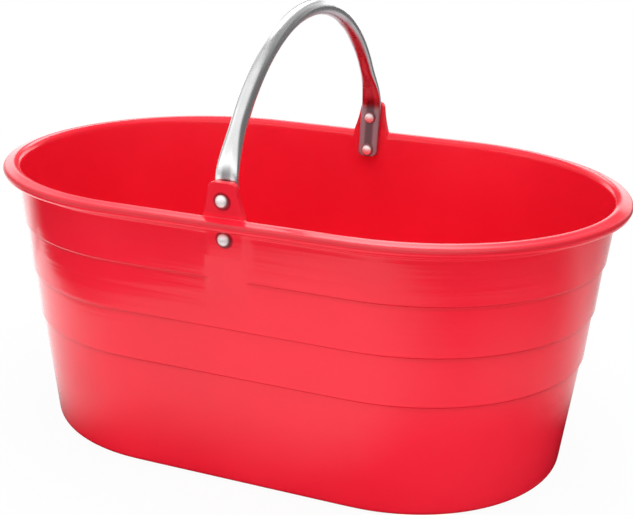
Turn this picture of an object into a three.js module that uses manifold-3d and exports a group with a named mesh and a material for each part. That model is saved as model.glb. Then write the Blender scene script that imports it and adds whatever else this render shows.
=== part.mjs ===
// Harvest basket: a moulded plastic tub with a stepped wall and a rolled lip, carried by a bent
// aluminium tube. The tube's ends are pressed flat and riveted to two ears on the long sides.
// Millimetres, +Z up, X along the tub. The origin is on the ground under the middle of the tub.

import * as THREE from 'three';
import * as BufferGeometryUtils from 'three/addons/utils/BufferGeometryUtils.js';
import Module from 'manifold-3d';

// Plan and height of the tub
const STRAIGHT_LENGTH = 188; // straight stretch of each long side, between the round ends
const RIM_HEIGHT = 229; // ground to the crest of the rim
const RIM_END_RADIUS = 158.5; // outside of the wall at the round ends, run up to the rim's height
const WALL_DRAFT = THREE.MathUtils.degToRad(6.6);
const WALL_THICKNESS = 3.6;
const FLOOR_THICKNESS = 4;
const BASE_EDGE_RADIUS = 7; // outside, where the wall turns into the base
const FLOOR_EDGE_RADIUS = 8; // inside, where the wall turns into the floor
const FOOT_WIDTH = 16; // flat ring that the tub stands on
const FOOT_RECESS = 1.5; // the base's middle panel is this far off the ground

// Lip and collar
const CREST_RADIUS = 6; // inner edge of the rim
const LIP_REACH = 10.5; // how far the lip overhangs the wall
const LIP_DROP = 1.6; // the lip slopes down by this much towards its outer edge
const LIP_EDGE_RADIUS = 3.6; // half of the lip's thickness at its outer edge
const COLLAR_HEIGHT = 3.5;
const COLLAR_PROUD = 1;
const COLLAR_BEVEL = 1;

// Steps of the wall: each one sets the tier below it in
const STEP_COUNT = 3;
const FIRST_STEP_DROP = 49; // rim to the first step
const STEP_PITCH = 41;
const STEP_DEPTH = 1.6;
const STEP_HEIGHT = 1.4;

// Ears: one flat plate on each long side, proud of the wall on both faces
const EAR_ROOT_WIDTH = 33; // at the rim, and down the wall
const EAR_TOP_WIDTH = 20;
const EAR_TOP_MARGIN = 13.5; // upper rivet to the ear's top
const EAR_TAIL_MARGIN = 58; // lower rivet to the plate's lower end
const PAD_TAPER_MARGIN = 16; // lower rivet to where the pad starts to fade into the wall
const SEAT_TAPER_MARGIN = 9; // lower rivet to where the seat starts to fade into the wall
const SEAT_TAPER_RUN = 12; // height over which the seat fades
const EAR_FLANK_HOLLOW = 0.8; // the flanks above the rim are this hollow
const EAR_CORNER_RADIUS = 4;
const EAR_TAIL_RADIUS = 9;
const EAR_EDGE_BEVEL = 0.7;
const PAD_PROUD = 2.2; // on the outside
const PAD_SINK = 0.8; // the pad's lower end dips this far under the wall's face
const SEAT_PROUD = 0.6; // on the inside, where the handle's end lies

// Rivets
const RIVET_SHANK_DIAMETER = 5;
const RIVET_HEAD_DIAMETER = 11;
const RIVET_HEAD_HEIGHT = 3.4;
const RIVET_TO_RIM = 8; // crest of the rim to the upper head
const RIVET_TO_LIP = 1.7; // underside of the lip to the lower head

// Handle
const TUBE_DIAMETER = 12.7;
const TUBE_WALL = 1.5;
const PRESSED_WIDTH = 18.5;
const PRESSED_THICKNESS = 4.6;
const PRESSED_SQUARENESS = 0.6; // power of the pressed section: 1 is an ellipse, less is squarer
const CREASE_DEPTH = 0.9;
const CREASE_WIDTH = 5;
const END_MARGIN = 6.5; // lower rivet to the end of the tube
const END_ROUNDING = 4; // the pressed end's corners are rounded off over this length
const BEND_BELOW_EAR_TOP = 6; // the straight leg stops and the bow starts
const PRESS_RUN = 46; // length over which the tube goes from flat to round
const HANDLE_RISE = 130; // crest of the rim to the tube's axis at the top of the bow
const BOW_LEG_PULL = 30; // how far the bow keeps the leg's direction
const BOW_TOP_PULL = 98; // how far the bow's top keeps level

// Clearances
const SEAT_GAP = 0.3; // between faces that bear on each other
const SHANK_GAP = 0.3; // around a rivet's shank
const CUT_OVERRUN = 10; // how far a cutter runs past what it cuts

// Fineness of the round surfaces
const END_SEGMENTS = 32;
const TUBE_SIDES = 20;
const BOW_STEPS = 14;
const RIVET_SIDES = 16;
const DOME_STEPS = 5;

const wasm = await Module();
wasm.setup();

// Heights and radii that follow from the driving dimensions
const draftSlope = Math.tan(WALL_DRAFT);
const lipUnderside = RIM_HEIGHT - LIP_DROP - 2 * LIP_EDGE_RADIUS;
const upperRivetHeight = RIM_HEIGHT + RIVET_TO_RIM + RIVET_HEAD_DIAMETER / 2;
const lowerRivetHeight = lipUnderside - RIVET_TO_LIP - RIVET_HEAD_DIAMETER / 2;
const earTop = upperRivetHeight + EAR_TOP_MARGIN;
const earTail = lowerRivetHeight - EAR_TAIL_MARGIN;

// Outside and inside of the drafted wall, without the steps, as a radius at the round ends and as
// a distance from the middle plane along the straight sides.
function outerWall(z) {
  return RIM_END_RADIUS - (RIM_HEIGHT - z) * draftSlope;
}

function innerWall(z) {
  return outerWall(z) - WALL_THICKNESS;
}

// The face that the handle's pressed end lies on, seen from the middle plane
function seatFace(z) {
  return innerWall(z) - SEAT_PROUD;
}

// Meshes and solids

// Joins the vertices that coincide and drops triangles that have shrunk to an edge.
function weld(geometry) {
  const bare = geometry.clone();
  bare.deleteAttribute('normal');
  bare.deleteAttribute('uv');
  const merged = BufferGeometryUtils.mergeVertices(bare, 1e-4);
  const kept = [];
  for (let i = 0; i < merged.index.count; i += 3) {
    const [a, b, c] = [0, 1, 2].map((k) => merged.index.getX(i + k));
    if (a !== b && b !== c && c !== a) kept.push(a, b, c);
  }
  merged.setIndex(kept);
  return merged;
}

function toSolid(geometry) {
  const welded = weld(geometry);
  return new wasm.Manifold(new wasm.Mesh({
    numProp: 3,
    vertProperties: new Float32Array(welded.attributes.position.array),
    triVerts: new Uint32Array(welded.index.array),
  }));
}

function toGeometry(solid) {
  const mesh = solid.getMesh();
  const geometry = new THREE.BufferGeometry();
  geometry.setAttribute('position', new THREE.BufferAttribute(mesh.vertProperties, 3));
  geometry.setIndex(new THREE.BufferAttribute(mesh.triVerts, 1));
  return geometry;
}

// A skin through rings of equally many points. A loop joins its last ring to its first;
// otherwise both end rings, which are level, are capped.
function skin(rings, loop = false) {
  const size = rings[0].length;
  const index = [];
  const pairs = loop ? rings.length : rings.length - 1;
  for (let i = 0; i < pairs; i++) {
    const near = i * size;
    const far = ((i + 1) % rings.length) * size;
    for (let j = 0; j < size; j++) {
      const next = (j + 1) % size;
      index.push(near + j, near + next, far + next);
      index.push(near + j, far + next, far + j);
    }
  }
  if (!loop) {
    const last = (rings.length - 1) * size;
    const level = (ring) => ring.map((p) => new THREE.Vector2(p.x, p.y));
    for (const [a, b, c] of THREE.ShapeUtils.triangulateShape(level(rings[0]), [])) index.push(c, b, a);
    for (const [a, b, c] of THREE.ShapeUtils.triangulateShape(level(rings.at(-1)), [])) {
      index.push(last + a, last + b, last + c);
    }
  }
  const geometry = new THREE.BufferGeometry().setFromPoints(rings.flat());
  geometry.setIndex(index);
  return geometry;
}

// Tub

// Plan of the tub at one level: two straight sides joined by half circles
function planRing(radius, z) {
  const ring = [];
  for (const [middle, start] of [[STRAIGHT_LENGTH / 2, -Math.PI / 2], [-STRAIGHT_LENGTH / 2, Math.PI / 2]]) {
    for (let i = 0; i <= END_SEGMENTS; i++) {
      const angle = start + Math.PI * i / END_SEGMENTS;
      ring.push(new THREE.Vector3(middle + radius * Math.cos(angle), radius * Math.sin(angle), z));
    }
  }
  return ring;
}

// Radial profile of the tub, from the base's middle panel up the outside, over the lip and down
// the inside to the floor
function tubProfile() {
  const profile = new THREE.Path();

  // Outside corners of the steps, from the lowest step up
  const steps = [];
  for (let i = STEP_COUNT - 1; i >= 0; i--) {
    const level = RIM_HEIGHT - FIRST_STEP_DROP - i * STEP_PITCH;
    const below = level - STEP_HEIGHT / 2;
    const above = level + STEP_HEIGHT / 2;
    steps.push([outerWall(below) - STEP_DEPTH / 2, below]);
    steps.push([outerWall(above) + STEP_DEPTH / 2, above]);
  }

  // Base: recessed panel, foot ring and rounded edge
  const lowestTierSlope = (steps[0][0] - outerWall(0)) / steps[0][1];
  const lean = Math.atan(lowestTierSlope);
  const edgeMiddle = outerWall(0) + lowestTierSlope * BASE_EDGE_RADIUS - BASE_EDGE_RADIUS / Math.cos(lean);
  profile.moveTo(edgeMiddle - FOOT_WIDTH - FOOT_RECESS, FOOT_RECESS);
  profile.lineTo(edgeMiddle - FOOT_WIDTH, 0);
  profile.absarc(edgeMiddle, BASE_EDGE_RADIUS, BASE_EDGE_RADIUS, -Math.PI / 2, -lean, false);

  // Stepped outside, then the collar under the lip
  for (const [radius, z] of steps) profile.lineTo(radius, z);
  const collarFoot = lipUnderside - COLLAR_HEIGHT;
  profile.lineTo(outerWall(collarFoot - COLLAR_BEVEL), collarFoot - COLLAR_BEVEL);
  profile.lineTo(outerWall(collarFoot) + COLLAR_PROUD, collarFoot);
  profile.lineTo(outerWall(lipUnderside) + COLLAR_PROUD, lipUnderside);

  // Lip: round outer edge, sloping top and round inner crest
  const lipEdge = RIM_END_RADIUS + LIP_REACH - LIP_EDGE_RADIUS;
  const lipMiddle = lipUnderside + LIP_EDGE_RADIUS;
  profile.absarc(lipEdge, lipMiddle, LIP_EDGE_RADIUS, -Math.PI / 2, Math.PI / 2, false);
  const crestMiddle = RIM_HEIGHT - CREST_RADIUS;
  const crest = innerWall(crestMiddle) + CREST_RADIUS / Math.cos(WALL_DRAFT);
  profile.absarc(crest, crestMiddle, CREST_RADIUS, Math.PI / 2, Math.PI - WALL_DRAFT, false);

  // Smooth inside, rounded into the floor
  const floorMiddle = FLOOR_THICKNESS + FLOOR_EDGE_RADIUS;
  const floorEdge = innerWall(floorMiddle) - FLOOR_EDGE_RADIUS / Math.cos(WALL_DRAFT);
  profile.absarc(floorEdge, floorMiddle, FLOOR_EDGE_RADIUS, -WALL_DRAFT, -Math.PI / 2, true);
  return profile.getPoints(3);
}

// A cutter across the front ear: an outline in the plane across the tub, given as distances from the
// middle plane and heights, drawn out along X
function crossCut(points) {
  const outline = new THREE.Shape(points.map(([y, z]) => new THREE.Vector2(-y, z)));
  const width = EAR_ROOT_WIDTH + CUT_OVERRUN;
  const cutter = new THREE.ExtrudeGeometry(outline, { depth: width, bevelEnabled: false });
  cutter.translate(0, 0, -width / 2);
  cutter.applyMatrix4(new THREE.Matrix4().set(0, 0, 1, 0, 1, 0, 0, 0, 0, 1, 0, 0, 0, 0, 0, 1));
  return cutter;
}

// Plate of one ear, on the front side: a tapered tab above the rim with hollow flanks, carried down
// the wall as a pad with a rounded tail. It leans with the wall, and both its faces fade into the
// wall below the lower rivet.
function earPlate() {
  const root = EAR_ROOT_WIDTH / 2;
  const tip = EAR_TOP_WIDTH / 2;
  const shoulder = earTop - EAR_CORNER_RADIUS;
  const flank = (root - tip) / (earTop - RIM_HEIGHT);
  const shoulderHalf = tip + flank * EAR_CORNER_RADIUS;
  const waistHalf = (root + shoulderHalf) / 2 - 2 * EAR_FLANK_HOLLOW;
  const waist = (RIM_HEIGHT + shoulder) / 2;
  const outline = new THREE.Shape();
  outline.moveTo(-root + EAR_TAIL_RADIUS, earTail);
  outline.lineTo(root - EAR_TAIL_RADIUS, earTail);
  outline.quadraticCurveTo(root, earTail, root, earTail + EAR_TAIL_RADIUS);
  outline.lineTo(root, RIM_HEIGHT);
  outline.quadraticCurveTo(waistHalf, waist, shoulderHalf, shoulder);
  outline.quadraticCurveTo(tip, earTop, tip - EAR_CORNER_RADIUS, earTop);
  outline.lineTo(-tip + EAR_CORNER_RADIUS, earTop);
  outline.quadraticCurveTo(-tip, earTop, -shoulderHalf, shoulder);
  outline.quadraticCurveTo(-waistHalf, waist, -root, RIM_HEIGHT);
  outline.lineTo(-root, earTail + EAR_TAIL_RADIUS);
  outline.quadraticCurveTo(-root, earTail, -root + EAR_TAIL_RADIUS, earTail);

  const plate = new THREE.ExtrudeGeometry(outline, {
    depth: SEAT_PROUD + WALL_THICKNESS + PAD_PROUD - 2 * EAR_EDGE_BEVEL,
    bevelThickness: EAR_EDGE_BEVEL,
    bevelSize: EAR_EDGE_BEVEL,
    bevelOffset: -EAR_EDGE_BEVEL,
    bevelSegments: 2,
    curveSegments: 6,
  });
  plate.translate(0, 0, EAR_EDGE_BEVEL);
  plate.rotateX(Math.PI / 2);
  plate.applyMatrix4(new THREE.Matrix4().makeShear(0, 0, 0, 0, 0, -draftSlope));
  plate.translate(0, -seatFace(0), 0);

  const padTaper = lowerRivetHeight - PAD_TAPER_MARGIN;
  const padFront = outerWall(padTaper) + PAD_PROUD;
  const padEnd = outerWall(earTail) - PAD_SINK;
  const below = earTail - CUT_OVERRUN;
  const padFade = crossCut([
    [padFront, padTaper],
    [padEnd, earTail],
    [padEnd, below],
    [padFront + CUT_OVERRUN, below],
    [padFront + CUT_OVERRUN, padTaper],
  ]);
  const seatTaper = lowerRivetHeight - SEAT_TAPER_MARGIN;
  const seatEnd = seatTaper - SEAT_TAPER_RUN;
  const seatFade = crossCut([
    [seatFace(seatTaper), seatTaper],
    [innerWall(seatEnd), seatEnd],
    [innerWall(below) + WALL_THICKNESS / 4, below],
    [seatFace(below) - CUT_OVERRUN, below],
    [seatFace(below) - CUT_OVERRUN, seatTaper],
  ]);
  return toSolid(plate).subtract(toSolid(padFade)).subtract(toSolid(seatFade));
}

// Where a rivet sits on the front side: on the seat face, with its own +Z pointing out of the tub
function placeRivet(object, height) {
  object.position.set(0, -seatFace(height), height);
  object.rotation.set(Math.PI / 2 + WALL_DRAFT, 0, 0);
  object.updateMatrix();
  return object;
}

// Length of a rivet's grip outside and inside the seat face
const gripOutside = (SEAT_PROUD + WALL_THICKNESS + PAD_PROUD) * Math.cos(WALL_DRAFT) + SEAT_GAP;
const gripInside = PRESSED_THICKNESS + 2 * SEAT_GAP;

// The four rivet holes, as solids that go right through the ear, the wall and the tube's end
function rivetHoles() {
  const length = gripOutside + gripInside + 2;
  const bore = new THREE.CylinderGeometry(
    RIVET_SHANK_DIAMETER / 2 + SHANK_GAP, RIVET_SHANK_DIAMETER / 2 + SHANK_GAP, length, RIVET_SIDES);
  bore.rotateX(Math.PI / 2);
  bore.translate(0, 0, (gripOutside - gripInside) / 2);
  const holes = [];
  for (const height of [upperRivetHeight, lowerRivetHeight]) {
    const front = bore.clone().applyMatrix4(placeRivet(new THREE.Object3D(), height).matrix);
    holes.push(toSolid(front), toSolid(front.clone().rotateZ(Math.PI)));
  }
  return holes;
}

function tubGeometry(holes) {
  const rings = tubProfile().map((p) => planRing(p.x, p.y));
  const front = toGeometry(earPlate());
  const back = front.clone().rotateZ(Math.PI);
  let solid = toSolid(skin(rings)).add(toSolid(front)).add(toSolid(back));
  for (const hole of holes) solid = solid.subtract(hole);
  return toGeometry(solid);
}

// Handle

// One half of the bow's axis: a straight leg along the seat, then a curve to the top
function bowHalf() {
  const legLean = new THREE.Vector3(0, Math.sin(WALL_DRAFT), Math.cos(WALL_DRAFT));
  const inward = new THREE.Vector3(0, -Math.cos(WALL_DRAFT), Math.sin(WALL_DRAFT));
  const onSeat = (z) => new THREE.Vector3(0, seatFace(z), z);
  const offSeat = inward.clone().multiplyScalar(SEAT_GAP + TUBE_DIAMETER / 2);
  const foot = onSeat(lowerRivetHeight).addScaledVector(legLean, -END_MARGIN).add(offSeat);
  const bend = onSeat(earTop - BEND_BELOW_EAR_TOP).add(offSeat);
  const top = new THREE.Vector3(0, 0, RIM_HEIGHT + HANDLE_RISE);
  const legPull = bend.clone().addScaledVector(legLean, BOW_LEG_PULL);
  const topPull = top.clone().add(new THREE.Vector3(0, BOW_TOP_PULL, 0));
  return {
    leg: new THREE.LineCurve3(foot, bend),
    bow: new THREE.CubicBezierCurve3(bend, legPull, topPull, top),
  };
}

// Stations along the back half of the handle, from its end to the top of the bow. Round runs from
// 0 on the pressed end to 1 on the plain tube, and trim narrows the end's corners.
function handleStations() {
  const { leg, bow } = bowHalf();
  const legLength = leg.getLength();
  const stations = [];
  const put = (curve, t, round, trim) => {
    const tangent = curve.getTangent(t);
    const inward = new THREE.Vector3(0, -tangent.z, tangent.y);
    stations.push({ middle: curve.getPoint(t), inward, round, trim });
  };
  for (const share of [0, 0.3, 1]) {
    const trim = END_ROUNDING * (1 - Math.sqrt(1 - (1 - share) ** 2));
    put(leg, END_ROUNDING * share / legLength, 0, trim);
  }
  const bowLength = bow.getLength();
  for (let i = 0; i <= BOW_STEPS; i++) {
    const t = bow.getUtoTmapping(i / BOW_STEPS);
    const round = THREE.MathUtils.smoothstep(bowLength * i / BOW_STEPS, 0, PRESS_RUN);
    put(bow, t, round, 0);
  }
  return stations;
}

// Cross-section of the tube at one station, set in from its outside by inset. The side that lies on
// the seat stays straight, and the other side is pressed towards it and creased.
function tubeRing(station, inset) {
  const { middle, inward, round, trim } = station;
  const width = THREE.MathUtils.lerp(PRESSED_WIDTH / 2 - trim, TUBE_DIAMETER / 2, round);
  const depth = THREE.MathUtils.lerp(PRESSED_THICKNESS / 2, TUBE_DIAMETER / 2, round);
  const squareness = THREE.MathUtils.lerp(PRESSED_SQUARENESS, 1, round);
  const soften = (value) => Math.sign(value) * Math.abs(value) ** squareness;
  const ring = [];
  for (let i = 0; i < TUBE_SIDES; i++) {
    const angle = 2 * Math.PI * i / TUBE_SIDES;
    const across = (width - inset) * soften(Math.cos(angle));
    let offSeat = depth - TUBE_DIAMETER / 2 + (depth - inset) * soften(Math.sin(angle));
    if (angle > 0 && angle < Math.PI) {
      offSeat -= (1 - round) * CREASE_DEPTH * Math.exp(-((2 * across / CREASE_WIDTH) ** 2));
    }
    ring.push(new THREE.Vector3(across, 0, 0).add(middle).addScaledVector(inward, offSeat));
  }
  return ring;
}

function mirrored(station) {
  const flip = new THREE.Vector3(1, -1, 1);
  return { ...station, middle: station.middle.clone().multiply(flip), inward: station.inward.clone().multiply(flip) };
}

function handleGeometry(holes) {
  const half = handleStations();
  const stations = [...half, ...half.slice(0, -1).reverse().map(mirrored)];
  const outside = stations.map((station) => tubeRing(station, 0));
  const bore = stations.map((station) => tubeRing(station, TUBE_WALL));
  let solid = toSolid(skin([...outside.reverse(), ...bore], true));
  for (const hole of holes) solid = solid.subtract(hole);
  return toGeometry(solid);
}

// Rivets

// A shank with a dome at each end, on its own Z axis, with the seat face at its origin
function rivetGeometry() {
  const head = RIVET_HEAD_DIAMETER / 2;
  const shank = RIVET_SHANK_DIAMETER / 2;
  const sphere = (head ** 2 + RIVET_HEAD_HEIGHT ** 2) / (2 * RIVET_HEAD_HEIGHT);
  const sweep = Math.asin(head / sphere);
  const dome = [];
  for (let i = 0; i <= DOME_STEPS; i++) {
    const angle = sweep * i / DOME_STEPS;
    dome.push([i === 0 ? 0 : sphere * Math.sin(angle), sphere * Math.cos(angle) - sphere + RIVET_HEAD_HEIGHT]);
  }
  const profile = dome.map(([r, rise]) => new THREE.Vector2(r, -gripInside - rise));
  profile.push(new THREE.Vector2(shank, -gripInside), new THREE.Vector2(shank, gripOutside));
  profile.push(...dome.reverse().map(([r, rise]) => new THREE.Vector2(r, gripOutside + rise)));
  return new THREE.LatheGeometry(profile, RIVET_SIDES).rotateX(Math.PI / 2);
}

// Assembly

const redPlastic = new THREE.MeshStandardMaterial({ color: 0xe8202c, roughness: 0.28, metalness: 0 });
const brightTube = new THREE.MeshStandardMaterial({ color: 0xc9ccd0, roughness: 0.3, metalness: 1 });
const rivetMetal = new THREE.MeshStandardMaterial({ color: 0xd4d5d8, roughness: 0.35, metalness: 1 });

function named(name, geometry, material) {
  const shaded = BufferGeometryUtils.toCreasedNormals(weld(geometry), THREE.MathUtils.degToRad(35));
  const mesh = new THREE.Mesh(shaded, material);
  mesh.name = name;
  return mesh;
}

const basket = new THREE.Group();
const holes = rivetHoles();
basket.add(named('tub', tubGeometry(holes), redPlastic));
basket.add(named('handle', handleGeometry(holes), brightTube));

// Both sides carry the same two rivets: the back is the front turned half round.
const rivet = rivetGeometry();
for (const [side, turn] of [['front', 0], ['back', Math.PI]]) {
  const group = new THREE.Group();
  group.rotation.z = turn;
  group.add(placeRivet(named(`rivet_${side}_upper`, rivet, rivetMetal), upperRivetHeight));
  group.add(placeRivet(named(`rivet_${side}_lower`, rivet, rivetMetal), lowerRivetHeight));
  basket.add(group);
}

export default basket;
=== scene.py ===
import math

import bmesh
import bpy
from mathutils import Matrix, Vector


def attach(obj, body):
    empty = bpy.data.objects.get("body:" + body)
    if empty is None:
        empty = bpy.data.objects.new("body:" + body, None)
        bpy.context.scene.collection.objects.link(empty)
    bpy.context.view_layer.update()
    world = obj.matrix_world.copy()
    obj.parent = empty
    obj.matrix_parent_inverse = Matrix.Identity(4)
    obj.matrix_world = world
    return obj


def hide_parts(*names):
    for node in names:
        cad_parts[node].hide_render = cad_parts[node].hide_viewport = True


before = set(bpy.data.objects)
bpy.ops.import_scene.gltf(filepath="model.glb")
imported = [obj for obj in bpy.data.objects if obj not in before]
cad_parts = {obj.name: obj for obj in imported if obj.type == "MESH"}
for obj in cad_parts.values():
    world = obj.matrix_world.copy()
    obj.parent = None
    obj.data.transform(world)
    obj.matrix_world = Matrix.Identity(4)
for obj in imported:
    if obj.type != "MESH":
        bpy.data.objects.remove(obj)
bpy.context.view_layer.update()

MM = 0.001

# Tub, as in the part's source
STRAIGHT_HALF = 94 * MM
RIM_HEIGHT = 229 * MM
RIM_END_RADIUS = 158.5 * MM
WALL_DRAFT = math.radians(6.6)
WALL_THICKNESS = 3.6 * MM
FLOOR_THICKNESS = 4 * MM
BASE_EDGE_RADIUS = 7 * MM
FLOOR_EDGE_RADIUS = 8 * MM
FOOT_WIDTH = 16 * MM
FOOT_RECESS = 1.5 * MM
CREST_RADIUS = 6 * MM
LIP_REACH = 10.5 * MM
LIP_DROP = 1.6 * MM
LIP_EDGE_RADIUS = 3.6 * MM
COLLAR_HEIGHT = 3.5 * MM
COLLAR_PROUD = 1 * MM
COLLAR_BEVEL = 1 * MM
STEP_LEVELS_MM = (98, 139, 180)
STEP_LEVELS = [level * MM for level in STEP_LEVELS_MM]
STEP_DEPTH = 1.6 * MM
STEP_HEIGHT = 1.4 * MM

# Rows of points up the tub, as heights in millimetres. A step's and a tier's are measured from the step,
# and a collar row also has the share of the collar that it stands out by
LOW_ROWS = (14, 28, 48, 70, 86)
STEP_ROWS = (-4, -1.7, -0.95, -0.7, -0.45, 0.45, 0.7, 0.95, 1.8, 5)
TIER_ROWS = (13, 20.5, 28)
HIGH_ROWS = (191, 197, 203, 208, 212, 215.4, 216.3)
COLLAR_ROWS = ((216.7, 0.85), (217.2, 1), (219.2, 1), (220.2, 1))
INSIDE_ROWS = (221, 215, 209, 204, 198, 192, 185, 168, 145, 120, 95, 70, 48, 30, 19, 14.5)

# Columns of points along the straight side, in millimetres from its middle, closest at the ear's flank
COLUMNS = (2.5, 5, 7.5, 10, 12, 13.6, 14.9, 15.8, 16.5, 17.2, 18.4, 21, 26, 36, 52, 73, 94)
END_STEPS = 20

# Ears, with their pad outside and their seat inside
EAR_ROOT_HALF = 16.5 * MM
EAR_TOP_HALF = 10 * MM
EAR_TOP = 256 * MM
EAR_CORNER_RADIUS = 4 * MM
EAR_FLANK_HOLLOW = 0.8 * MM
EAR_ROOT_STEP = 0.45 * MM
EAR_ROWS = (230.4, 232.4, 236, 240, 244, 248, 251, 253.3, 254.9, 255.7, 256)
PAD_HALF = 21.5 * MM
PAD_FLAT_HALF = 13 * MM
PAD_TOP = 224 * MM
PAD_PROUD = 2.2 * MM
PAD_SINK = 0.8 * MM
PAD_TAPER = 197 * MM
PAD_END = 155 * MM
SEAT_PROUD = 0.6 * MM
SEAT_TAPER = 204 * MM
SEAT_END = 192 * MM

# Rivets
RIVET_HEIGHTS = {"upper": 242.5 * MM, "lower": 213 * MM}
SHANK_RADIUS = 2.5 * MM
HEAD_RADIUS = 5.5 * MM
HEAD_HEIGHT = 3.4 * MM
HEAD_EDGE = 0.5 * MM
GRIP_OUTSIDE = 6.66 * MM
GRIP_INSIDE = 5.2 * MM

# Handle
SEAT_GAP = 0.3 * MM
TUBE_RADIUS = 6.35 * MM
PRESSED_HALF_WIDTH = 9.25 * MM
PRESSED_HALF_DEPTH = 2.3 * MM
PRESSED_SQUARENESS = 0.6
CREASE_DEPTH = 0.9 * MM
CREASE_WIDTH = 5 * MM
END_MARGIN = 6.5 * MM
END_ROUNDING = 4 * MM
PRESS_RUN = 46 * MM
BOW_TOP = 359 * MM
BOW_LEG_PULL = 30 * MM
BOW_TOP_PULL = 98 * MM
BEND_HEIGHT = 250 * MM
SLIT_WIDTH_SHARE = 0.72
SLIT_DEPTH_SHARE = 0.35
SLIT_LENGTH = 9 * MM

# Rings of points along the tube: millimetres from its end and above the bend, and a count for the bow
END_RINGS = (0, 0.25, 0.7, 1.4, 2.4, 3.8, 6, 10, 16, 22, 28, 34, 39)
PRESS_RINGS = (-1.5, 2, 6, 10, 14, 18, 22, 26, 30, 34, 38, 42, 46, 50)
BOW_RINGS = 24

DRAFT_SLOPE = math.tan(WALL_DRAFT)
LIP_OUTSIDE = RIM_END_RADIUS + LIP_REACH
LIP_UNDERSIDE = RIM_HEIGHT - LIP_DROP - 2 * LIP_EDGE_RADIUS
COLLAR_FOOT = LIP_UNDERSIDE - COLLAR_HEIGHT
LEG_LEAN = Vector((math.sin(WALL_DRAFT), math.cos(WALL_DRAFT)))


def outer_wall(z):
    return RIM_END_RADIUS - (RIM_HEIGHT - z) * DRAFT_SLOPE


def inner_wall(z):
    return outer_wall(z) - WALL_THICKNESS


def seat_face(z):
    return inner_wall(z) - SEAT_PROUD


def between(first, last, share):
    return first + (last - first) * share


def ease(low, high, value):
    share = min(1, max(0, (value - low) / (high - low)))
    return share * share * (3 - 2 * share)


# Bench work: each piece starts from a primitive, with nothing else selected


def begin(name, add, **settings):
    bpy.ops.object.select_all(action="DESELECT")
    add(location=(0, 0, 0), **settings)
    piece = bpy.context.object
    piece.name = name
    piece.data.name = name
    bpy.ops.object.mode_set(mode="EDIT")
    return piece


def pick(kind, test):
    """Selects, in edit mode, the vertices, edges or faces that pass the test, and nothing else."""
    bpy.ops.mesh.select_mode(type={"verts": "VERT", "edges": "EDGE", "faces": "FACE"}[kind])
    bpy.ops.mesh.select_all(action="DESELECT")
    mesh = bpy.context.edit_object.data
    shape = bmesh.from_edit_mesh(mesh)
    for item in getattr(shape, kind):
        if test(item):
            item.select_set(True)
    bmesh.update_edit_mesh(mesh)


def push(place, selected_only=False):
    """Moves vertices, in edit mode, to where place says."""
    mesh = bpy.context.edit_object.data
    shape = bmesh.from_edit_mesh(mesh)
    for vertex in shape.verts:
        if vertex.select or not selected_only:
            vertex.co = place(vertex.co)
    bmesh.update_edit_mesh(mesh)


def draw_chain(points):
    """Shrinks a plane to one point and draws a chain of edges from it through radius and height."""
    bpy.ops.mesh.merge(type="CENTER")
    radius, z = points[0]
    bpy.ops.transform.translate(value=(0, -radius, z))
    for next_radius, next_z in points[1:]:
        step = (0, radius - next_radius, next_z - z)
        bpy.ops.mesh.extrude_vertices_move(TRANSFORM_OT_translate={"value": step})
        radius, z = next_radius, next_z


def close_up():
    """Merges doubles and points the faces outwards."""
    bpy.ops.mesh.select_mode(type="VERT")
    bpy.ops.mesh.select_all(action="SELECT")
    bpy.ops.mesh.remove_doubles(threshold=1e-6)
    bpy.ops.mesh.normals_make_consistent(inside=False)


def apply_modifier(piece, kind, **settings):
    modifier = piece.modifiers.new(kind.lower(), kind)
    for key, value in settings.items():
        setattr(modifier, key, value)
    bpy.ops.object.modifier_apply(modifier=modifier.name)


def arc(middle, radius, first, last, steps):
    points = []
    for i in range(steps + 1):
        angle = math.radians(between(first, last, i / steps))
        points.append((middle[0] + radius * math.cos(angle), middle[1] + radius * math.sin(angle)))
    return points


# Tub


def tier_offset(z):
    """How far the stepped wall stands out from its plain draft line."""
    corners = [(0, 0)]
    for level in STEP_LEVELS:
        corners.append((level - STEP_HEIGHT / 2, -STEP_DEPTH / 2))
        corners.append((level + STEP_HEIGHT / 2, STEP_DEPTH / 2))
    corners.append((COLLAR_FOOT - COLLAR_BEVEL, 0))
    for (low, first), (high, last) in zip(corners, corners[1:]):
        if z <= high:
            return between(first, last, (z - low) / (high - low))
    return 0


def tub_outside():
    """Half section from the middle of the base to the foot of the lip."""
    lowest = STEP_LEVELS[0] - STEP_HEIGHT / 2
    slope = (outer_wall(lowest) - STEP_DEPTH / 2 - outer_wall(0)) / lowest
    lean = math.atan(slope)
    edge = outer_wall(0) + slope * BASE_EDGE_RADIUS - BASE_EDGE_RADIUS / math.cos(lean)
    foot = edge - FOOT_WIDTH
    chain = [(0, FOOT_RECESS), (foot * 0.5, FOOT_RECESS), (foot - 4 * MM, FOOT_RECESS)]
    chain += [(foot - 2 * MM, FOOT_RECESS), (foot - 0.6 * MM, 1.1 * MM), (foot + 0.2 * MM, 0.1 * MM)]
    chain += [(foot + 2 * MM, 0), (edge - 3 * MM, 0)]
    chain += arc((edge, BASE_EDGE_RADIUS), BASE_EDGE_RADIUS, -90, -math.degrees(lean), 6)
    rows = list(LOW_ROWS)
    for level in STEP_LEVELS_MM:
        rows += [level + row for row in STEP_ROWS]
        if level < STEP_LEVELS_MM[-1]:
            rows += [level + row for row in TIER_ROWS]
    rows += HIGH_ROWS
    chain += [(outer_wall(row * MM) + tier_offset(row * MM), row * MM) for row in rows]
    for row, share in COLLAR_ROWS:
        chain.append((outer_wall(row * MM) + COLLAR_PROUD * share, row * MM))
    return chain


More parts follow.
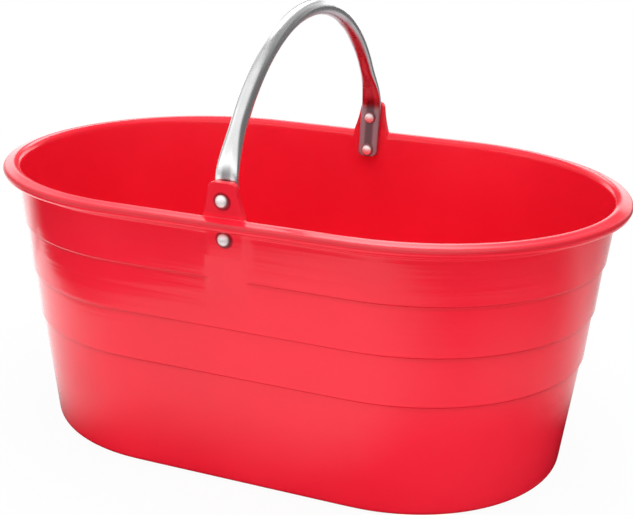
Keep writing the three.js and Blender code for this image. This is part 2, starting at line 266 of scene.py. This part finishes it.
def tub_section():
    """Half section of the whole tub, up the outside, over the lip and down the inside."""
    chain = tub_outside()
    lip_edge = LIP_OUTSIDE - LIP_EDGE_RADIUS
    chain += [(outer_wall(LIP_UNDERSIDE) + reach * MM, LIP_UNDERSIDE) for reach in (1.8, 3.4, 5.4)]
    chain += arc((lip_edge, LIP_UNDERSIDE + LIP_EDGE_RADIUS), LIP_EDGE_RADIUS, -90, 76, 8)
    crest_height = RIM_HEIGHT - CREST_RADIUS
    crest = (inner_wall(crest_height) + CREST_RADIUS / math.cos(WALL_DRAFT), crest_height)
    chain.append((between(lip_edge, crest[0], 0.35), RIM_HEIGHT - LIP_DROP * 0.7))
    chain.append((between(lip_edge, crest[0], 0.7), RIM_HEIGHT - LIP_DROP * 0.25))
    chain += arc(crest, CREST_RADIUS, 90, 180 - math.degrees(WALL_DRAFT), 7)
    for row in INSIDE_ROWS:
        chain.append((inner_wall(row * MM), row * MM))
    floor_edge_height = FLOOR_THICKNESS + FLOOR_EDGE_RADIUS
    floor_edge = inner_wall(floor_edge_height) - FLOOR_EDGE_RADIUS / math.cos(WALL_DRAFT)
    chain += arc((floor_edge, floor_edge_height), FLOOR_EDGE_RADIUS, -math.degrees(WALL_DRAFT), -90, 6)
    chain += [(radius, FLOOR_THICKNESS) for radius in (floor_edge - 4 * MM, floor_edge * 0.5, 0)]
    return chain


def pad_height(z):
    return between(-PAD_SINK, PAD_PROUD, min(1, max(0, (z - PAD_END) / (PAD_TAPER - PAD_END))))


def swell_pad_and_seat(co):
    """Raises the riveting pad outside and the handle's seat inside, under the ear."""
    if co.x > PAD_HALF or co.z < PAD_END or co.z > PAD_TOP:
        return co
    width = ease(PAD_HALF, PAD_FLAT_HALF, co.x)
    stands_out = -co.y - outer_wall(co.z)
    if stands_out > -WALL_THICKNESS / 2:
        rise = max(0, pad_height(co.z) - stands_out) * width
        return Vector((co.x, co.y - rise, co.z))
    sink = SEAT_PROUD * width * ease(SEAT_END, SEAT_TAPER, co.z)
    return Vector((co.x, co.y + sink, co.z))


def ear_half_width(z):
    """The ear's half width at a height: hollow flanks, then rounded corners up to its top."""
    shoulder = EAR_TOP - EAR_CORNER_RADIUS
    flank = (EAR_ROOT_HALF - EAR_TOP_HALF) / (EAR_TOP - RIM_HEIGHT)
    shoulder_half = EAR_TOP_HALF + flank * EAR_CORNER_RADIUS
    waist_half = (EAR_ROOT_HALF + shoulder_half) / 2 - 2 * EAR_FLANK_HOLLOW
    if z < shoulder:
        t = (z - RIM_HEIGHT) / (shoulder - RIM_HEIGHT)
        return (1 - t) ** 2 * EAR_ROOT_HALF + 2 * t * (1 - t) * waist_half + t * t * shoulder_half
    t = 1 - math.sqrt(max(0, EAR_TOP - z) / EAR_CORNER_RADIUS)
    tip_half = EAR_TOP_HALF - EAR_CORNER_RADIUS
    return (1 - t) ** 2 * shoulder_half + 2 * t * (1 - t) * EAR_TOP_HALF + t * t * tip_half


def raise_ear():
    """Draws the quarter's half ear up from the crest, narrowing to its rounded top."""
    crest_foot = RIM_HEIGHT - CREST_RADIUS
    inside = seat_face(crest_foot) - 1 * MM
    outside = RIM_END_RADIUS + PAD_PROUD

    def on_crest(face):
        middle = face.calc_center_median()
        on_rim = inside < -middle.y < outside - EAR_ROOT_STEP
        return on_rim and middle.x < EAR_ROOT_HALF and middle.z > crest_foot + 0.6 * MM

    pick("faces", on_crest)
    half = EAR_ROOT_HALF
    for row in EAR_ROWS:
        top = row * MM
        next_half = ear_half_width(top)
        bpy.ops.mesh.extrude_region_move(TRANSFORM_OT_translate={"value": (0, 0, 0)})

        def lean_up(co):
            y = co.y - DRAFT_SLOPE * (top - co.z)
            if row == EAR_ROWS[0]:
                y -= EAR_ROOT_STEP * (-co.y - inside) / (outside - inside)
            return Vector((co.x * next_half / half, y, top))

        push(lean_up, selected_only=True)
        half = next_half
    pick("faces", lambda face: abs(face.calc_center_median().x) < 1e-6)
    bpy.ops.mesh.delete(type="ONLY_FACE")


def make_tub():
    tub = begin("moulded_tub", bpy.ops.mesh.primitive_plane_add, size=10 * MM)
    draw_chain(tub_section())
    at = 0
    bpy.ops.mesh.select_all(action="SELECT")
    for column in COLUMNS:
        bpy.ops.mesh.extrude_region_move(TRANSFORM_OT_translate={"value": ((column - at) * MM, 0, 0)})
        at = column
    middle = (STRAIGHT_HALF, 0, 0)
    bpy.ops.mesh.spin(steps=END_STEPS, dupli=False, angle=math.pi / 2, center=middle, axis=(0, 0, -1))
    close_up()
    push(swell_pad_and_seat)
    raise_ear()
    close_up()
    bpy.ops.object.mode_set(mode="OBJECT")
    apply_modifier(tub, "MIRROR", use_axis=(True, True, False), merge_threshold=1e-5)
    bpy.ops.object.mode_set(mode="EDIT")
    close_up()
    bpy.ops.object.mode_set(mode="OBJECT")
    apply_modifier(tub, "SUBSURF", levels=1, render_levels=1)
    bpy.ops.object.shade_smooth()
    return tub


# Handle


def bow_point(t):
    """Distance back and height of the bow's middle line, from the bend (0) to the top (1)."""
    off = SEAT_GAP + TUBE_RADIUS
    bend = Vector((seat_face(BEND_HEIGHT), BEND_HEIGHT)) + off * Vector((-LEG_LEAN.y, LEG_LEAN.x))
    pull = bend + BOW_LEG_PULL * LEG_LEAN
    top_pull = Vector((BOW_TOP_PULL, BOW_TOP))
    top = Vector((0, BOW_TOP))
    return (1 - t) ** 3 * bend + 3 * (1 - t) ** 2 * t * pull + 3 * (1 - t) * t * t * top_pull + t ** 3 * top


class BowPath:
    """The tube's middle line, measured in metres from the top of the bow towards one end."""

    def __init__(self):
        count = 400
        self.points = [bow_point(1 - i / count) for i in range(count + 1)]
        self.lengths = [0]
        for a, b in zip(self.points, self.points[1:]):
            self.lengths.append(self.lengths[-1] + (b - a).length)
        self.bow = self.lengths[-1]
        leg = (BEND_HEIGHT - RIVET_HEIGHTS["lower"]) / math.cos(WALL_DRAFT) + END_MARGIN
        self.reach = self.bow + leg

    def at(self, run):
        """Point and upward direction, as distance back and height."""
        if run >= self.bow:
            return self.points[-1] - LEG_LEAN * (run - self.bow), LEG_LEAN
        i = 0
        while self.lengths[i + 1] < run:
            i += 1
        share = (run - self.lengths[i]) / (self.lengths[i + 1] - self.lengths[i])
        above, below = self.points[i], self.points[i + 1]
        return above.lerp(below, share), (above - below).normalized()


def soften(value, power):
    return math.copysign(abs(value) ** power, value)


def press_and_bend(path, co):
    """Where a point of the straight tube, drawn along Z, comes to lie on the pressed and bent one."""
    side = 1 if co.z > 0 else -1
    run = abs(co.z)
    angle = math.atan2(co.y, co.x)
    middle, up = path.at(run)
    roundness = ease(0, PRESS_RUN, path.bow - run)
    from_end = path.reach - run
    trim = 0
    if from_end < END_ROUNDING:
        trim = END_ROUNDING - math.sqrt(max(0, END_ROUNDING ** 2 - (END_ROUNDING - from_end) ** 2))
    width = between(PRESSED_HALF_WIDTH - trim, TUBE_RADIUS, roundness)
    depth = between(PRESSED_HALF_DEPTH, TUBE_RADIUS, roundness)
    power = between(PRESSED_SQUARENESS, 1, roundness)
    across = width * soften(math.cos(angle), power)
    inward = depth - TUBE_RADIUS + depth * soften(math.sin(angle), power)
    crease = (1 - roundness) * CREASE_DEPTH * math.exp(-(2 * across / CREASE_WIDTH) ** 2)
    inward -= crease if math.sin(angle) > 0 else -crease
    back = middle.x - up.y * inward
    height = middle.y + up.x * inward
    return Vector((across, side * back, height))


def wrap_tube_map(tube):
    """A map whose first number runs along the tube and second round it, in metres."""
    layer = tube.data.uv_layers.new(name="along_tube")
    for face in tube.data.polygons:
        turn = math.atan2(face.center.y, face.center.x)
        for loop in face.loop_indices:
            co = tube.data.vertices[tube.data.loops[loop].vertex_index].co
            angle = math.atan2(co.y, co.x)
            angle += 2 * math.pi * round((turn - angle) / (2 * math.pi))
            layer.data[loop].uv = (co.z, angle * TUBE_RADIUS)


def make_handle():
    path = BowPath()
    runs = [path.reach - ring * MM for ring in END_RINGS]
    runs += [path.bow - ring * MM for ring in PRESS_RINGS]
    start = runs[-1]
    runs += [start * (1 - i / BOW_RINGS) for i in range(1, BOW_RINGS)]
    stations = [-run for run in runs] + [0] + list(reversed(runs))
    tube = begin("bow_tube", bpy.ops.mesh.primitive_circle_add, vertices=40, radius=TUBE_RADIUS)
    bpy.ops.transform.translate(value=(0, 0, stations[0]))
    for last, station in zip(stations, stations[1:]):
        bpy.ops.mesh.extrude_region_move(TRANSFORM_OT_translate={"value": (0, 0, station - last)})
    bpy.ops.object.mode_set(mode="OBJECT")
    wrap_tube_map(tube)
    bpy.ops.object.mode_set(mode="EDIT")
    push(lambda co: press_and_bend(path, co))
    slit_ends(path)
    close_up()
    bpy.ops.object.mode_set(mode="OBJECT")
    bpy.ops.object.shade_smooth_by_angle(angle=math.radians(50))
    return tube


def slit_ends(path):
    """Turns each pressed end inwards, so that it shows the slit that remains of the bore."""
    for side in (-1, 1):
        end, up = path.at(path.reach)
        face_middle = end + Vector((-up.y, up.x)) * (PRESSED_HALF_DEPTH - TUBE_RADIUS)
        middle = Vector((0, side * face_middle.x, face_middle.y))
        pick("edges", lambda edge: edge.is_boundary and edge.verts[0].co.y * side > 0)
        bpy.ops.mesh.extrude_region_move(TRANSFORM_OT_translate={"value": (0, 0, 0)})
        inward = Vector((0, -side * up.y, up.x))

        def draw_in(co):
            offset = co - middle
            depth = offset.dot(inward)
            across = offset - inward * depth
            return middle + across * SLIT_WIDTH_SHARE + inward * depth * SLIT_DEPTH_SHARE

        push(draw_in, selected_only=True)
        deeper = Vector((0, side * up.x, up.y)) * SLIT_LENGTH
        bpy.ops.mesh.extrude_region_move(TRANSFORM_OT_translate={"value": deeper})
        bpy.ops.mesh.edge_face_add()


# Rivets


def rivet_section():
    """Half section along the rivet's axis, from the head inside to the head outside."""
    rise = HEAD_HEIGHT - HEAD_EDGE
    ball = (HEAD_RADIUS ** 2 + rise ** 2) / (2 * rise)
    sweep = math.degrees(math.asin(HEAD_RADIUS / ball))
    dome = arc((0, HEAD_HEIGHT - ball), ball, 90 - sweep, 90, 8)
    dome[-1] = (0, HEAD_HEIGHT)
    edge = [(SHANK_RADIUS, 0), (HEAD_RADIUS - 0.9 * MM, 0), (HEAD_RADIUS - 0.25 * MM, 0.05 * MM)]
    edge += [(HEAD_RADIUS - 0.02 * MM, 0.25 * MM)]
    outside = [(radius, GRIP_OUTSIDE + z) for radius, z in edge + dome]
    inside = [(radius, -GRIP_INSIDE - z) for radius, z in edge + dome]
    return list(reversed(inside)) + outside


def make_rivets():
    """Turns one rivet about its axis and sets copies of it through both ends of the handle."""
    pattern = begin("rivet_pattern", bpy.ops.mesh.primitive_plane_add, size=1 * MM)
    draw_chain(rivet_section())
    bpy.ops.mesh.select_all(action="SELECT")
    bpy.ops.mesh.spin(steps=36, dupli=False, angle=2 * math.pi, center=(0, 0, 0), axis=(0, 0, 1))
    close_up()
    bpy.ops.object.mode_set(mode="OBJECT")
    bpy.ops.object.shade_smooth_by_angle(angle=math.radians(40))
    lay = Matrix.Rotation(math.pi / 2 + WALL_DRAFT, 4, "X")
    rivets = {}
    for side, turn in (("front", 0), ("back", math.pi)):
        for level, height in RIVET_HEIGHTS.items():
            name = "rivet_" + side + "_" + level
            rivet = pattern.copy()
            rivet.data = pattern.data.copy()
            bpy.context.collection.objects.link(rivet)
            rivet.name = name + "_turned"
            rivet.data.name = name + "_turned"
            carry = Matrix.Translation((0, -seat_face(height), height))
            rivet.data.transform(Matrix.Rotation(turn, 4, "Z") @ carry @ lay)
            rivets[name] = rivet
    bpy.data.meshes.remove(pattern.data)
    return rivets


# Finishes


class Wire:
    """A value in a finish. Sums on it add Math nodes."""

    def __init__(self, finish, socket):
        self.finish = finish
        self.socket = socket

    def sum(self, operation, first, second):
        return self.finish.node("ShaderNodeMath", {"operation": operation}, {0: first, 1: second})

    def __add__(self, other):
        return self.sum("ADD", self, other)

    def __radd__(self, other):
        return self.sum("ADD", other, self)

    def __sub__(self, other):
        return self.sum("SUBTRACT", self, other)

    def __rsub__(self, other):
        return self.sum("SUBTRACT", other, self)

    def __mul__(self, other):
        return self.sum("MULTIPLY", self, other)

    def __rmul__(self, other):
        return self.sum("MULTIPLY", other, self)

    def __pow__(self, other):
        return self.sum("POWER", self, other)

    def __abs__(self):
        return self.at_least(0 - self)

    def at_least(self, other):
        return self.sum("MAXIMUM", self, other)


def distance(across, along):
    return (across * across + along * along) ** 0.5


def from_middle_line(x, y):
    """Distance from the straight line between the middles of the tub's round ends."""
    return distance((abs(x) - STRAIGHT_HALF).at_least(0), y)


class Finish:
    """A material's or the world's node tree, with one method that adds any node."""

    def __init__(self, name, tree=None):
        self.material = None
        if tree is None:
            self.material = bpy.data.materials.new(name)
            self.material.use_nodes = True
            tree = self.material.node_tree
        self.tree = tree
        self.shader = tree.nodes.get("Principled BSDF")

    def node(self, kind, settings=(), sockets=(), output=0):
        node = self.tree.nodes.new(kind)
        for key, value in dict(settings).items():
            setattr(node, key, value)
        self.feed(node, dict(sockets))
        return Wire(self, node.outputs[output])

    def feed(self, node, sockets):
        for key, value in sockets.items():
            if isinstance(value, Wire):
                self.tree.links.new(value.socket, node.inputs[key])
            else:
                node.inputs[key].default_value = value

    def split(self, vector):
        """The three numbers of a vector."""
        first = self.node("ShaderNodeSeparateXYZ", sockets={"Vector": vector})
        return [Wire(self, output) for output in first.socket.node.outputs]

    def rays(self):
        """Masks of the rays that the camera sees, straight or through glass, and of the mirrored ones."""
        camera = self.node("ShaderNodeLightPath", output="Is Camera Ray")
        kinds = camera.socket.node.outputs
        seen = camera.at_least(Wire(self, kinds["Is Transmission Ray"]))
        return seen, Wire(self, kinds["Is Glossy Ray"])

    def noise(self, place, scale, detail, roughness=0.5):
        sockets = {"Vector": place, "Scale": scale, "Detail": detail, "Roughness": roughness}
        return self.node("ShaderNodeTexNoise", sockets=sockets)

    def band(self, value, low, high):
        """0 below low, 1 above high, smooth between."""
        sockets = {"Value": value, "From Min": low, "From Max": high}
        return self.node("ShaderNodeMapRange", {"interpolation_type": "SMOOTHSTEP"}, sockets)

    def near(self, value, low, high):
        """1 within low of zero, 0 farther off than high, smooth between."""
        return 1 - self.band(abs(value), low, high)

    def stretch(self, value, rise, fall):
        """1 from the end of the rise to the start of the fall, 0 outside both, smooth between."""
        return self.band(value, *rise) * (1 - self.band(value, *fall))

    def blend(self, share, first, second):
        sockets = {0: share, 6: first, 7: second}
        return self.node("ShaderNodeMix", {"data_type": "RGBA"}, sockets, 2)

    def relief(self, height, strength, depth):
        sockets = {"Strength": strength, "Distance": depth, "Height": height}
        return self.node("ShaderNodeBump", sockets=sockets)


def red_plastic():
    """Glossy plastic with mould rings, painted shade under steps, round rivet heads, on the lip edge and
    ears, and a scuffed foot.
    """
    finish = Finish("red_moulded_plastic")
    place = finish.node("ShaderNodeTexCoord", output="Object")
    x, y, z = finish.split(place)
    outward = from_middle_line(x, y)
    clouds = finish.noise(place, 7, 3)
    grain = finish.noise(place, 900, 2)
    ripple = finish.noise(place, 60, 2)
    round_wall = finish.node("ShaderNodeMapping", sockets={"Vector": place, "Scale": (4, 4, 190)})
    rings = finish.noise(round_wall, 1, 2)
    outside = finish.band(outward - z * DRAFT_SLOPE, outer_wall(0) - 2.6 * MM, outer_wall(0) - 1.8 * MM)
    # Painted shade in the corner under each step. It is cut out at the pad for the top step and fades along
    # part of the long sides for the lower two.
    painted_step_shade = 0
    for level in STEP_LEVELS:
        under_step_shade = finish.near(z - (level - STEP_HEIGHT / 2), 0.8 * MM, 3.4 * MM)
        if level > PAD_END:
            under_step_shade = under_step_shade * finish.band(abs(x), 14 * MM, 19 * MM)
        else:
            under_step_shade = under_step_shade * finish.band(abs(x - 40 * MM), 60 * MM, 110 * MM)
        painted_step_shade = under_step_shade.at_least(painted_step_shade)
    painted_step_shade = painted_step_shade * outside
    # Painted shadow in a thin ring on the plastic round each rivet head.
    rivet_shadow_ring = 0
    for height in RIVET_HEIGHTS.values():
        gap = distance(x, z - (height - 0.6 * MM)) - HEAD_RADIUS - 0.5 * MM
        rivet_shadow_ring = finish.near(gap, 0.3 * MM, 1.5 * MM).at_least(rivet_shadow_ring)
    # Painted shade on the lower, outer part of the lip's rounded edge, which is also made rougher there.
    lip_edge = finish.band(outward, LIP_OUTSIDE - 3.4 * MM, LIP_OUTSIDE - 1.2 * MM)
    lip_edge = lip_edge * finish.band(z, LIP_UNDERSIDE + 2.8 * MM, LIP_UNDERSIDE + 4.8 * MM)
    # Painted shade on the ears, everything that rises above the rim.
    ear = finish.band(z, RIM_HEIGHT + 1.5 * MM, RIM_HEIGHT + 5 * MM)
    foot = 1 - finish.band(z, 0.5 * MM, 1.2 * MM)
    scuffs = foot * finish.band(finish.noise(place, 38, 5, 0.7), 0.56, 0.68)
    deep_red = (0.82, 0.0115, 0.031, 1)
    bright_red = (0.87, 0.0130, 0.035, 1)
    # The next three reds are painted shade: under the steps and on the ears, round the rivet heads, and on
    # the lip's edge.
    painted_shade_red = (0.36, 0.004, 0.012, 1)
    rivet_shadow_red = (0.22, 0.003, 0.010, 1)
    lip_shade_red = (0.42, 0.004, 0.014, 1)
    scuffed_red = (0.50, 0.03, 0.04, 1)
    colour = finish.blend(finish.band(clouds, 0.35, 0.65), deep_red, bright_red)
    colour = finish.blend(painted_step_shade * 0.13, colour, painted_shade_red)
    colour = finish.blend(ear * 0.2, colour, painted_shade_red)
    colour = finish.blend(rivet_shadow_ring * 0.7, colour, rivet_shadow_red)
    colour = finish.blend(lip_edge * 0.75, colour, lip_shade_red)
    colour = finish.blend(scuffs * 0.6, colour, scuffed_red)
    rough = 0.13 + 0.06 * finish.band(clouds, 0.4, 0.7) + 0.03 * grain
    rough = rough + 0.06 * painted_step_shade + 0.18 * lip_edge + 0.3 * scuffs
    ringed = outside * (1 - finish.band(z, COLLAR_FOOT - 4.7 * MM, COLLAR_FOOT - 0.7 * MM))
    height = ripple * 0.5 + grain * 0.1 + rings * ringed * 3
    relief = finish.relief(height, 0.1, 0.6 * MM)
    sockets = {"Base Color": colour, "Roughness": rough, "Normal": relief, "IOR": 1.5}
    finish.feed(finish.shader, sockets)
    return finish.material


def bright_tube():
    """Drawn tube with fine lines along it, painted shade underneath and in the crease, and rougher pressed
    ends with painted shade tinted red.
    """
    finish = Finish("bright_drawn_tube")
    along = finish.node("ShaderNodeUVMap", {"uv_map": "along_tube"})
    stretched = finish.node("ShaderNodeMapping", sockets={"Vector": along, "Scale": (12, 900, 1)})
    lines = finish.noise(stretched, 1, 3)
    place = finish.node("ShaderNodeTexCoord", output="Object")
    smudges = finish.noise(place, 35, 3)
    run, turn = finish.split(along)[:2]
    from_top = abs(run)
    bow = BowPath().bow
    # Painted shade with a painted red reflection on the pressed ends, which are also rougher.
    pressed = finish.band(from_top, bow - 6 * MM, bow + 4 * MM)
    # Painted shade on the underside of the tube.
    underside_shade = finish.stretch(turn, (0, 5 * MM), (15 * MM, 20 * MM))
    off_crease = abs(turn) - TUBE_RADIUS * math.pi / 2
    # Painted shade along the crease of the pressed ends.
    folded = finish.band(from_top, bow - 18 * MM, bow - 5 * MM)
    crease = folded * finish.near(off_crease, 0.6 * MM, 2.4 * MM)
    clean_metal = (0.88, 0.88, 0.885, 1)
    smudged_metal = (0.80, 0.803, 0.81, 1)
    # Painted shade under the tube.
    underside_shade_grey = (0.43, 0.39, 0.42, 1)
    # Painted shade with a painted red reflection on the pressed ends.
    pressed_end_shade_red = (0.40, 0.31, 0.34, 1)
    # Painted shade in the crease.
    crease_shade_dark = (0.12, 0.09, 0.10, 1)
    colour = finish.blend(finish.band(smudges, 0.35, 0.7), clean_metal, smudged_metal)
    colour = finish.blend(underside_shade, colour, underside_shade_grey)
    colour = finish.blend(pressed, colour, pressed_end_shade_red)
    colour = finish.blend(crease * 0.75, colour, crease_shade_dark)
    rough = 0.22 + 0.1 * finish.band(smudges, 0.4, 0.75) + 0.06 * lines + 0.2 * pressed
    relief = finish.relief(lines, 0.03, 0.3 * MM)
    finish.feed(finish.shader, {"Base Color": colour, "Roughness": rough, "Normal": relief, "Metallic": 1})
    return finish.material


def rivet_metal():
    """Satin metal, pale in the middle of each head, with painted shade tinted red at its edge."""
    finish = Finish("satin_rivet_metal")
    place = finish.node("ShaderNodeTexCoord", output="Object")
    dents = finish.noise(place, 420, 2)
    smudges = finish.noise(place, 150, 3)
    x, z = finish.split(place)[::2]
    # Painted shade with a painted red reflection round the edge of each head.
    middle = 0
    for height in RIVET_HEIGHTS.values():
        near_axis = finish.near(distance(x, z - height), 0.66 * HEAD_RADIUS, 0.92 * HEAD_RADIUS)
        middle = near_axis.at_least(middle)
    clean_metal = (0.97, 0.90, 0.90, 1)
    smudged_metal = (0.91, 0.84, 0.84, 1)
    head_edge_shade_red = (0.30, 0.10, 0.11, 1)
    colour = finish.blend(finish.band(smudges, 0.35, 0.7), clean_metal, smudged_metal)
    colour = finish.blend(middle, head_edge_shade_red, colour)
    rough = 0.45 + 0.1 * smudges
    relief = finish.relief(dents, 0.1, 0.3 * MM)
    finish.feed(finish.shader, {"Base Color": colour, "Roughness": rough, "Normal": relief, "Metallic": 0.7})
    return finish.material


def dress(piece, material, node):
    piece.data.materials.clear()
    piece.data.materials.append(material)
    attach(piece, "root")
    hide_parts(node)


dress(make_tub(), red_plastic(), "tub")
dress(make_handle(), bright_tube(), "handle")
rivet_finish = rivet_metal()
for node_name, rivet_piece in make_rivets().items():
    dress(rivet_piece, rivet_finish, node_name)


# Studio


def lay_floor():
    """White paper that the camera sees as white, with the object's shadow kept on it.

    Mirrored in the object, it glows with painted light as a table top that ends in front, lighter on the
    left, with painted shade on the right, beside the base and in three patches.
    """
    bpy.ops.object.select_all(action="DESELECT")
    bpy.ops.mesh.primitive_plane_add(size=24, location=(0, 0, 0))
    floor = bpy.context.object
    floor.name = "studio_floor"
    finish = Finish("white_studio_floor")
    seen, glossy = finish.rays()
    place = finish.node("ShaderNodeTexCoord", output="Object")
    x, y = finish.split(place)[:2]
    beside = from_middle_line(x, y) - outer_wall(0)
    reach = abs(x - 0.06) * (1 / 0.7) + abs(y) * (1 / 0.66)
    front = 1 - finish.band(y, -0.1, 0.2)
    beyond = finish.band(reach, 2.4, 3.2) * (0.3 + 0.7 * finish.band(abs(y), 0.25, 0.8))
    table = 1 - front * (finish.band(reach, 0.98, 1.08) - beyond)
    left = 0.65 * finish.band(0 - x, 0.2, 0.45)
    right = 0.4 * finish.band(x, 0.08, 0.3) + 0.5 * finish.band(x, 0.38, 0.62)
    right = right * (1 - 0.75 * finish.band(y, 0.0, 0.3))
    front_patch = 0.75 * finish.band(x, 0.22, 0.42) * finish.stretch(0 - y, (0.15, 0.35), (0.8, 1.2))
    far_patch = 0.8 * finish.band(x, -0.3, 0.0) * finish.band(y, 0.7, 0.9)
    back_patch = 0.3 * finish.band(x, 0.2, 0.36) * finish.stretch(y, (0.2, 0.42), (0.6, 0.7))
    lit_patches = 1 - (front_patch + far_patch + back_patch)
    base_shade = beside - 0.08 * front * finish.band(x, 0.02, 0.22) + 0.055 * finish.band(0 - x, 0.12, 0.25)
    # Painted light and painted shade that the floor glows with in mirrored rays only.
    mirror = table * (1 + left - right) * lit_patches * finish.band(base_shade, 0.0, 0.115)
    painted_table_glow = finish.node("ShaderNodeEmission", sockets={"Color": mirror, "Strength": 1})
    paper = finish.node("ShaderNodeBsdfDiffuse", sockets={"Color": (0.66, 0.66, 0.66, 1)})
    glow = finish.node("ShaderNodeEmission", sockets={"Color": (1, 1, 1, 1), "Strength": 1})
    white_share = seen * (0.94 + 0.06 * finish.band(beside, 0.2, 1.0))
    lit = finish.node("ShaderNodeMixShader", sockets={0: white_share, 1: paper, 2: glow})
    mixed = finish.node("ShaderNodeMixShader", sockets={0: glossy * (1 - seen), 1: lit, 2: painted_table_glow})
    finish.feed(finish.tree.nodes["Material Output"], {"Surface": mixed})
    floor.data.materials.append(finish.material)


def light_world():
    """White to the camera. It lights the object as a soft room that is brightest overhead.

    Mirrored in the object, it is a dim studio with a strip of light behind, a soft light above and low lights
    behind, on the left and in front.
    """
    world = bpy.data.worlds.new("pale_studio")
    bpy.context.scene.world = world
    world.use_nodes = True
    finish = Finish("pale_studio", world.node_tree)
    seen, glossy = finish.rays()
    way = finish.node("ShaderNodeTexCoord", output="Generated")
    x, y, z = finish.split(way)
    strip = finish.band(y, 0.3, 0.6) * finish.stretch(z, (0.32, 0.48), (0.82, 0.92))
    hot_spot = finish.near(x + 0.24, 0.03, 0.32)
    back_strip = (1.0 + 3.2 * hot_spot) * strip * (1 - 0.75 * finish.band(x, -0.12, 0.12))
    not_behind = 1 - finish.band(y, 0.0, 0.35)
    softbox = 0.74 * finish.band(z, 0.28, 0.5) * not_behind * (1 - finish.band(x, 0.55, 0.8))
    on_left = 0.35 * finish.band(0 - x, 0.5, 0.9)
    low_back = finish.band(0 - x, 0.5, 0.62) * finish.band(y, 0.5, 0.7) + finish.band(y, 0.945, 0.957)
    low_back = 1.5 * low_back * (1 - finish.band(z, 0.3, 0.42))
    right_back = 0.6 * finish.stretch(x, (0.12, 0.25), (0.3, 0.42)) * finish.band(y, 0.8, 0.88)
    low_front = finish.stretch(z, (0.08, 0.26), (0.3, 0.5)) * (1 - finish.band(y, -0.6, -0.2))
    low_front = 1.5 * low_front * (1 - finish.band(x, 0.5, 0.75))
    mirrored = 0.15 + back_strip + softbox + on_left + low_back + right_back + low_front
    ambient = 0.55 - 0.23 * finish.band(y, -0.4, 0.4) + 3.4 * finish.band(z, 0.7, 0.95)
    strength = seen + (1 - seen) * (glossy * mirrored + (1 - glossy) * ambient)
    finish.feed(world.node_tree.nodes["Background"], {"Color": strength, "Strength": 1})


def hang_lamp(name, place, aim, size, power):
    """A wide lamp that lights the object and is neither seen nor mirrored."""
    lamp = bpy.data.lights.new(name, "AREA")
    lamp.shape = "RECTANGLE"
    lamp.size, lamp.size_y = size
    lamp.energy = power
    stand = bpy.data.objects.new(name, lamp)
    bpy.context.collection.objects.link(stand)
    stand.location = place
    stand.rotation_euler = (Vector(aim) - Vector(place)).to_track_quat("-Z", "Y").to_euler()
    stand.visible_camera = False
    stand.visible_glossy = False


def set_camera():
    """The photograph's viewing angle, as fitted to the basket's outline."""
    eye = Vector((0.36332, -0.90813, 0.48069))
    aim = Vector((0, 0, 0.11465))
    roll = math.radians(1.45)
    back = (eye - aim).normalized()
    right = Vector((0, 0, 1)).cross(back).normalized()
    up = back.cross(right)
    turned_right = right * math.cos(roll) + up * math.sin(roll)
    turned_up = up * math.cos(roll) - right * math.sin(roll)
    lens = bpy.data.cameras.new("photo_camera")
    lens.lens = 69.142
    lens.sensor_fit = "HORIZONTAL"
    lens.sensor_width = 36
    lens.shift_x = 0.0183
    lens.shift_y = 0.0637
    lens.clip_start = 0.01
    camera = bpy.data.objects.new("photo_camera", lens)
    bpy.context.collection.objects.link(camera)
    turn = Matrix((turned_right, turned_up, back)).transposed()
    camera.matrix_world = Matrix.Translation(eye) @ turn.to_4x4()
    bpy.context.scene.camera = camera


lay_floor()
light_world()
hang_lamp("high_softbox", (0.5, -0.85, 1.6), (-0.05, 0.05, 0.12), (1.6, 1.2), 3.5)
hang_lamp("front_fill", (0.4, -2.2, 0.35), (0, 0, 0.2), (1.8, 0.6), 8.5)
set_camera()
bpy.context.scene.view_settings.view_transform = "Standard"
